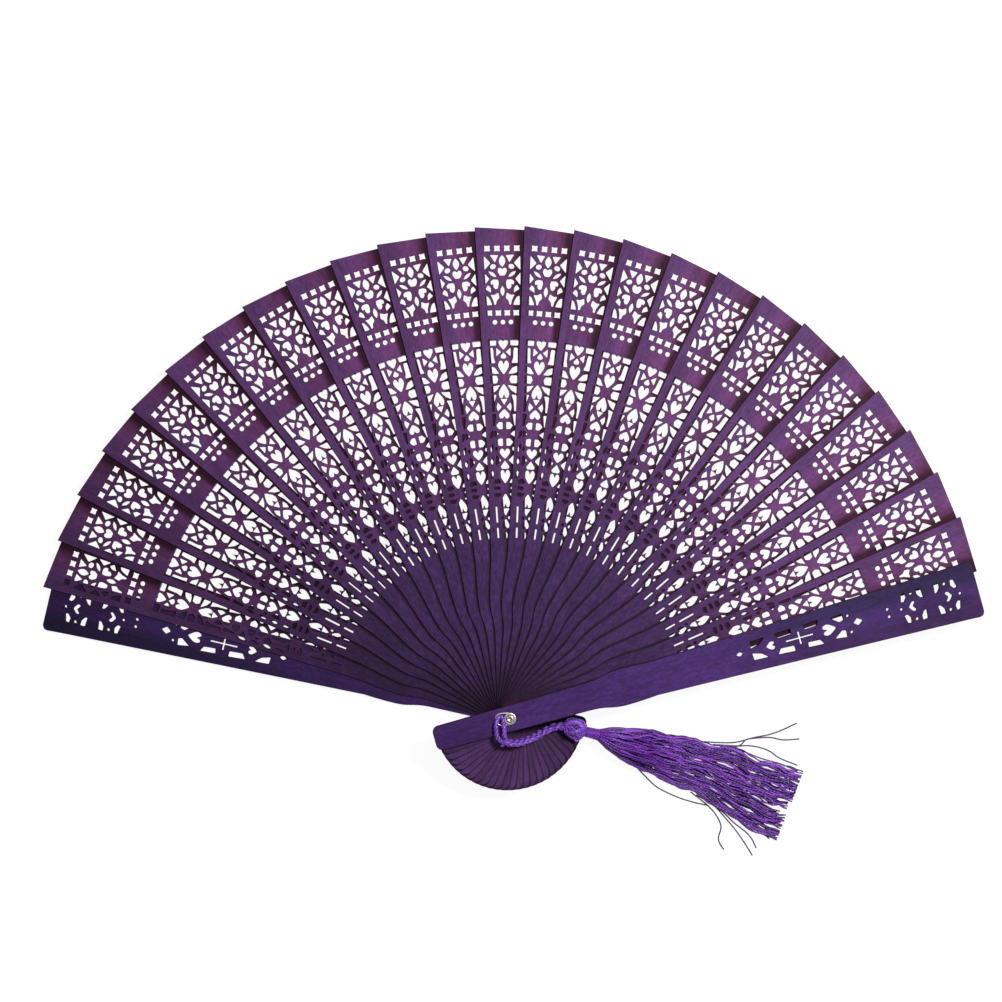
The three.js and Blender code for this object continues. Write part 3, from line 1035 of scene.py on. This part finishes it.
# The narrow rows that close up towards the neck.
INNER_LACE_PETALS = [
    [(1.4, 2), (2.3, 3.5), (4, 3), (3.9, 1.7)],
    [(1.8, 0.1), (2.1, 0.6), (4.1, 0.65), (4.1, -0.35), (2.1, -0.45)],
    [(1.3, -1.9), (2.3, -3.1), (3.9, -2.8), (3.8, -1.6)],
]
INNER_LACE = flower(81.9, INNER_LACE_PETALS) + both(
    cell(0.6, 105.8, 0.6, 103.2, 2, 103.1, 3.1, 104.45, 2, 105.8),
    cell(0.6, 99.9, 0.6, 97.1, 2, 97.1, 3.1, 98.5, 2, 99.9),
    cell(2, 101.5, 3.7, 102.8, 3.7, 100.3),
    oval(3.1, 96.1, 0.42, 0.75),
    cell(1.25, 92, 3.2, 94, 3.3, 90.1),
    oval(1.2, 71.3, 0.42, 0.6),
    *[leaf((4.3, at + 1.6), (4.9, at - 1.6), 0.5) for at in (101.3, 96.4, 91.6, 86.9)],
) + [
    heart(96.2, 92.6, 1.95),
    cell(0, 92, 1.65, 89.7, 1.2, 88.9, -1.2, 88.9, -1.65, 89.7),
    heart(88.5, 83.7, 1.85),
    heart(75.1, 80, 1.65),
    cell(-1.45, 74.7, 1.45, 74.7, 0, 72),
    heart(67.5, 70.9, 1.3),
    oval(0, 65, 0.58, 1.3),
]


def slits():
    """Slits on the lines halfway to the neighbouring sticks, so that those of two sticks meet."""
    made = []
    half_step = math.tan(math.radians(STEP_DEG / 2))
    for far, near in SLITS:
        for side in (-half_step, half_step):
            ends = ((-SLIT_HALF, far), (SLIT_HALF, far), (SLIT_HALF, near), (-SLIT_HALF, near))
            made.append(soften([(side * at + out, at) for out, at in ends], 0.3))
    return made


def on_stick(outlines, shift=0):
    """The outlines as (x, y) points of a stick."""
    return [[(distance, offset + shift) for offset, distance in outline] for outline in outlines]


def blade_openings():
    return on_stick(UPPER_LACE + MIDDLE_LACE + INNER_LACE, PATTERN_SHIFT) + on_stick(slits())


def guard_ring(at, way):
    """Four corner cells and three dots round a small chevron, which points along way."""
    return both(
        cell(5.4, at + 3.5 * way, 5.7, at + 2.2 * way, 3.7, at + 1.9 * way, 2.2, at + 3.0 * way,
             2.4, at + 4.2 * way, 3.9, at + 3.8 * way),
        cell(5.7, at - 1.9 * way, 5.6, at - 3.8 * way, 2.1, at - 4.1 * way, 2.3, at - 3.2 * way,
             3.8, at - 2.0 * way),
        dot(4.7, at, 0.6),
    ) + [
        cell(0, at + 1.9 * way, 1.5, at + 0.8 * way, 2, at, 1.5, at - 0.8 * way, 0, at + 0.35 * way,
             -1.5, at - 0.8 * way, -2, at, -1.5, at + 0.8 * way),
        dot(0, at + 4.6 * way, 0.55),
    ]


def guard_cross(at):
    """A cross with a long and a short bar, each a little wider at its ends."""
    made = []
    for long, turn_deg in ((5.2, 0), (2.4, 90), (5.2, 180), (2.4, 270)):
        arm = [(0.3, 0.4), (0.34, long), (-0.34, long), (-0.3, 0.4)]
        made += [turned(a, b, math.radians(turn_deg)) for a, b in arm]
    return [(offset, at + distance) for offset, distance in made]


def guard_openings():
    lace = both(
        cell(0.8, 89.4, 1.7, 92.7, 3.7, 95, 3.5, 89.6),
        cell(1.8, 99.7, 2.1, 104.7, 4.2, 104.8, 3.8, 98.4),
        cell(2.3, 109.7, 2.6, 114.1, 4.5, 115.3, 4.2, 109.5),
        cell(1.4, 122.5, 3.8, 119.3, 4.4, 123.8, 1.9, 124),
        dot(3, 125.7, 0.55),
        dot(1.35, 140, 0.6),
    ) + [
        leaf((0, 86.3), (0, 83.8), 0.8),
        heart(98, 94.9, 1.65),
        guard_cross(107.2),
        heart(115.9, 120.7, 2.15),
        cell(0, 130.7, 1.45, 128.7, 0, 127, -1.45, 128.7),
    ]
    return on_stick(lace + guard_ring(149.4, -1) + guard_ring(161.8, 1))


# ---- sticks ----

TIP_ROUND = 2
TIP_SLANT_DEG = 3.9
PIN_HOLE_R = 1.1
REAR_PAINTED_BRIGHTNESS = 0.56  # how bright the rear guard is left by the painted shade of the light falling off toward it
FULL_BRIGHTNESS_FROM = 9  # from this blade on it is 1
BLADE_FORM = {
    "tip": BLADE_TIP, "tail": 27.3, "tail_long": 3.4, "tail_wide": 4.2,
    "shoulder": 6.6, "waist": 6, "waist_at": 57, "bow": 7.3, "end": 10.2,
}
GUARD_FORM = {
    "tip": 173, "tail": 28, "tail_long": 2.2, "tail_wide": 2.2,
    "shoulder": 6.6, "waist": 6.1, "waist_at": 53, "bow": 8, "end": 10.1,
}


def edge(form, side):
    """One side of a stick from the tail to the tip."""
    shoulder = form["shoulder"]
    waist = (form["waist_at"], form["waist"])
    middle = (waist[0] + form["tip"]) / 2
    curves = [
        ([(0, 4.6)], 1),
        ([(29, 4.95)], 1),
        ([(29, 4.95), (36, 5.2), (35.5, shoulder), (42, shoulder)], 10),
        ([(42, shoulder), (47, shoulder), waist], 10),
        ([waist, (middle, form["bow"]), (form["tip"], form["end"])], 16),
    ]
    made = [p for controls, count in curves for p in bezier(controls, count)]
    return [(p[0], side * p[1]) for p in made]


def tail_end(form):
    """The tail with its two rounded corners, from the -Y side round to the +Y side."""
    long = form["tail_long"]
    wide = form["tail_wide"]
    turns = [-math.pi / 2 * (1 + k / 8) for k in range(9)]
    x, y = long - form["tail"], wide - TAIL_HALF
    corner = [(x + long * math.cos(a), y + wide * math.sin(a)) for a in turns]
    return corner + [(x, -y) for x, y in reversed(corner)]


def blade_outline():
    tip, end = BLADE_FORM["tip"], BLADE_FORM["end"]
    drop = math.tan(math.radians(TIP_SLANT_DEG)) * end
    left = edge(BLADE_FORM, 1)[:-1] + [(tip + drop, end)]
    right = edge(BLADE_FORM, -1)[:-1] + [(tip - drop, -end)]
    return tail_end(BLADE_FORM) + left + right[::-1]


def guard_outline():
    left = edge(GUARD_FORM, 1)[:-1]
    low = GUARD_FORM["tip"] - TIP_ROUND
    inner = GUARD_FORM["end"] - TIP_ROUND
    turns = [math.pi / 2 * (1 - k / 6) for k in range(7)]
    corner = [(low + TIP_ROUND * math.cos(a), inner + TIP_ROUND * math.sin(a)) for a in turns]
    half = left + corner
    return tail_end(GUARD_FORM) + half + [(x, -y) for x, y in reversed(half)]


def area_of(points):
    return 0.5 * sum(a[0] * b[1] - b[0] * a[1] for a, b in zip(points, points[1:] + points[:1]))


def moved_in(points, distance):
    """The loop with each point moved to the left of its way, into the wood."""
    made = []
    for before, at, after in neighbours(points):
        on = (at - before).normalized() + (after - at).normalized()
        on.normalize()
        made.append((at.x - on.y * distance, at.y + on.x * distance))
    return made


def shrunk(points, distance):
    """The loop drawn smaller round its middle, by about distance on each side."""
    middle = sum((Vector(p) for p in points), Vector((0, 0))) / len(points)
    reach = sum((Vector(p) - middle).length for p in points) / len(points)
    return [tuple(middle + (Vector(p) - middle) * (1 - distance / reach)) for p in points]


SAME_POINT = 0.02  # mm


def tidy_loop(points):
    """The loop without points that lie on their neighbour."""
    made = []
    for p in points:
        if not made or math.dist(p, made[-1]) > SAME_POINT:
            made.append(tuple(p))
    if math.dist(made[0], made[-1]) <= SAME_POINT:
        made.pop()
    return made


def stick_mesh(name, node, outline, openings, chamfer, material):
    """A flat stick as thick as its node, with its openings cut through, its edges broken on both faces.

    An opening's outline lies between its size at the faces and its size inside.
    """
    low, high = heights(node)
    pin_hole = circle_points(24, PIN_HOLE_R)
    loops = [tidy_loop(points) for points in [outline, pin_hole, *openings]]
    loops = [p if (area_of(p) > 0) == (k == 0) else p[::-1] for k, p in enumerate(loops)]
    loops = loops[:1] + [shrunk(p, chamfer / 2) for p in loops[1:]]
    flat = [p for loop in loops for p in loop]
    starts = np.cumsum([0] + [len(loop) for loop in loops])
    rings = [list(range(a, b)) for a, b in zip(starts, starts[1:])]
    regions = [rings[0]] + [ring[::-1] for ring in rings[1:]]
    cut = delaunay_2d_cdt([Vector(p) for p in flat], [], regions, 1, 1e-5)
    found, _, triangles, origins, _, inside = cut
    if len(found) != len(flat):
        raise RuntimeError(f"{name}: openings meet each other: {len(found)} points from {len(flat)}")
    back_to = {k: origin[0] for k, origin in enumerate(origins)}
    wood = [[back_to[k] for k in tri] for tri, where in zip(triangles, inside) if list(where) == [0]]
    narrow = [p for loop in loops for p in moved_in(loop, chamfer)]
    levels = [(narrow, 0), (flat, chamfer), (flat, high - low - chamfer), (narrow, high - low)]
    verts = [(x, y, z) for points, z in levels for x, y in points]
    count = len(flat)
    faces = [tri[::-1] for tri in wood] + [[k + 3 * count for k in tri] for tri in wood]
    plain = len(faces)
    for level in range(3):
        start = level * count
        for ring in rings:
            for a, b in zip(ring, ring[1:] + ring[:1]):
                faces.append([a + start, b + start, b + start + count, a + start + count])
    data = make_mesh(name, verts, faces, material, BURNT_WOOD)
    data.polygons.foreach_set("material_index", [0] * plain + [1] * (len(faces) - plain))
    return data


def make_sticks():
    blade = stick_mesh("blade", "blade_01", blade_outline(), blade_openings(), 0.14, BLADE_WOOD)
    guard = stick_mesh("guard", "front_guard", guard_outline(), guard_openings(), 0.15, GUARD_WOOD)
    for i in range(INTERVALS + 1):
        node = stick_node(i)
        mesh, slot = (guard, "guard_wood") if i in (0, INTERVALS) else (blade, "blade_wood")
        made = add_object(f"{node}_wood", mesh)
        made.location.z = heights(node)[0] * MM
        made.rotation_euler.z = stick_turn(i)
        # Painted shade: each stick's object colour darkens it toward the rear guard.
        strength = REAR_PAINTED_BRIGHTNESS + (1 - REAR_PAINTED_BRIGHTNESS) * rise(i, 0, FULL_BRIGHTNESS_FROM)
        made.color = (strength, strength, strength, 1)
        attach(made, stick_body(i), node)


make_sticks()


# ---- rivet and ring ----

RING_LONG = 3.25
RING_WIDE = 2.1
RING_CENTRE = 1.9
RING_TURN_DEG = 184
WIRE_R = 0.35


def washer_profile(low, high):
    return [
        (1, low), (2.15, low), (2.25, low + 0.1), (2.25, high - 0.12),
        (2.14, high - 0.02), (1.9, high), (1.3, high), (1, high - 0.03),
    ]


def pin_profile(top, washer_top):
    foot = [(0, 0), (1.7, 0), (2.2, 0.12), (2.4, 0.42), (2.36, 0.74), (2.2, 0.8), (0.9, 0.8)]
    pin = [(0.9, washer_top), (1.28, washer_top), (1.35, washer_top + 0.1), (1.3, top - 0.16)]
    peened = [(1.12, top - 0.03), (0.85, top), (0.6, top - 0.05), (0.42, top - 0.2), (0, top - 0.26)]
    return foot + pin + peened


def ring_route():
    """An oblong link: two half circles pulled apart."""
    made = []
    middle = sum(heights("tassel_ring")) / 2
    for k in range(72):
        a = (k + 0.5) / 72 * math.tau
        pull = (RING_LONG - RING_WIDE) * math.copysign(1, math.cos(a))
        x = RING_CENTRE + RING_WIDE * math.cos(a) + pull
        made.append((*turned(x, RING_WIDE * math.sin(a), math.radians(RING_TURN_DEG)), middle))
    return made


def make_hardware():
    profiles = {"rivet_pin": pin_profile(heights("rivet_pin")[1], heights("front_washer")[1])}
    for node in ("rear_washer", "front_washer"):
        profiles[node] = washer_profile(*heights(node))
    for node, profile in profiles.items():
        attach(spun(f"{node}_metal", profile, RIVET_METAL), "front", node)
    wire = Threads()
    wire.tube(ring_route(), WIRE_R, 16, closed=True)
    attach(wire.build("tassel_ring_wire", RING_METAL), "tassel", "tassel_ring")


make_hardware()


# ---- spread ribbon ----

RIBBON_R = 137
RIBBON_WIDE = 4
RIBBON_THICK = 0.08
RIBBON_OFF = 0.02
RIBBON_GAP = 0.05  # between a rise of the ribbon and its next run, which slides over it as the fan closes
GUARD_HALF = 8.9  # half the width of a stick at the ribbon
BLADE_HALF = 8.5
EDGE_GAP = 0.25  # between a stick's edge and the ribbon's rise


def ribbon_edge_turn(i):
    half = BLADE_HALF if i else GUARD_HALF
    return math.atan2(half, RIBBON_R) + EDGE_GAP / RIBBON_R


def ribbon_run(i):
    """(turn, height) points of the ribbon on stick i: along its back, and up past its edge to the next."""
    start = stick_turn(0) if i == 0 else stick_turn(i - 1) - ribbon_edge_turn(i - 1)
    end = stick_turn(i) if i == INTERVALS else stick_turn(i) - ribbon_edge_turn(i)
    back = heights(stick_node(i))[0] - RIBBON_OFF
    made = [(start + (end - start) * k / 8, back) for k in range(9)]
    if i < INTERVALS:
        made.append((end, heights(stick_node(i + 1))[0] - RIBBON_OFF - RIBBON_THICK - RIBBON_GAP))
    return made


def make_ribbon():
    for i in range(INTERVALS + 1):
        run = ribbon_run(i)
        verts = []
        for turn, z in run:
            for r in (RIBBON_R - RIBBON_WIDE / 2, RIBBON_R + RIBBON_WIDE / 2):
                verts.append((r * math.cos(turn), r * math.sin(turn), z))
        faces = [(2 * k, 2 * k + 1, 2 * k + 3, 2 * k + 2) for k in range(len(run) - 1)]
        name = f"ribbon_{i:02d}"
        made = add_object(name, make_mesh(name, verts, faces, RIBBON_SATIN))
        solid = made.modifiers.new("thickness", "SOLIDIFY")
        solid.thickness = RIBBON_THICK * MM
        solid.offset = 1
        attach(made, stick_body(i), "spread_ribbon" if i == INTERVALS else None)


make_ribbon()


# ---- floor ----

FLOOR_HALF = 4000


def make_floor():
    corners = [(a * FLOOR_HALF, b * FLOOR_HALF, 0) for a, b in ((-1, -1), (1, -1), (1, 1), (-1, 1))]
    add_object("floor", make_mesh("floor", corners, [(0, 1, 2, 3)], pale_floor()))


make_floor()
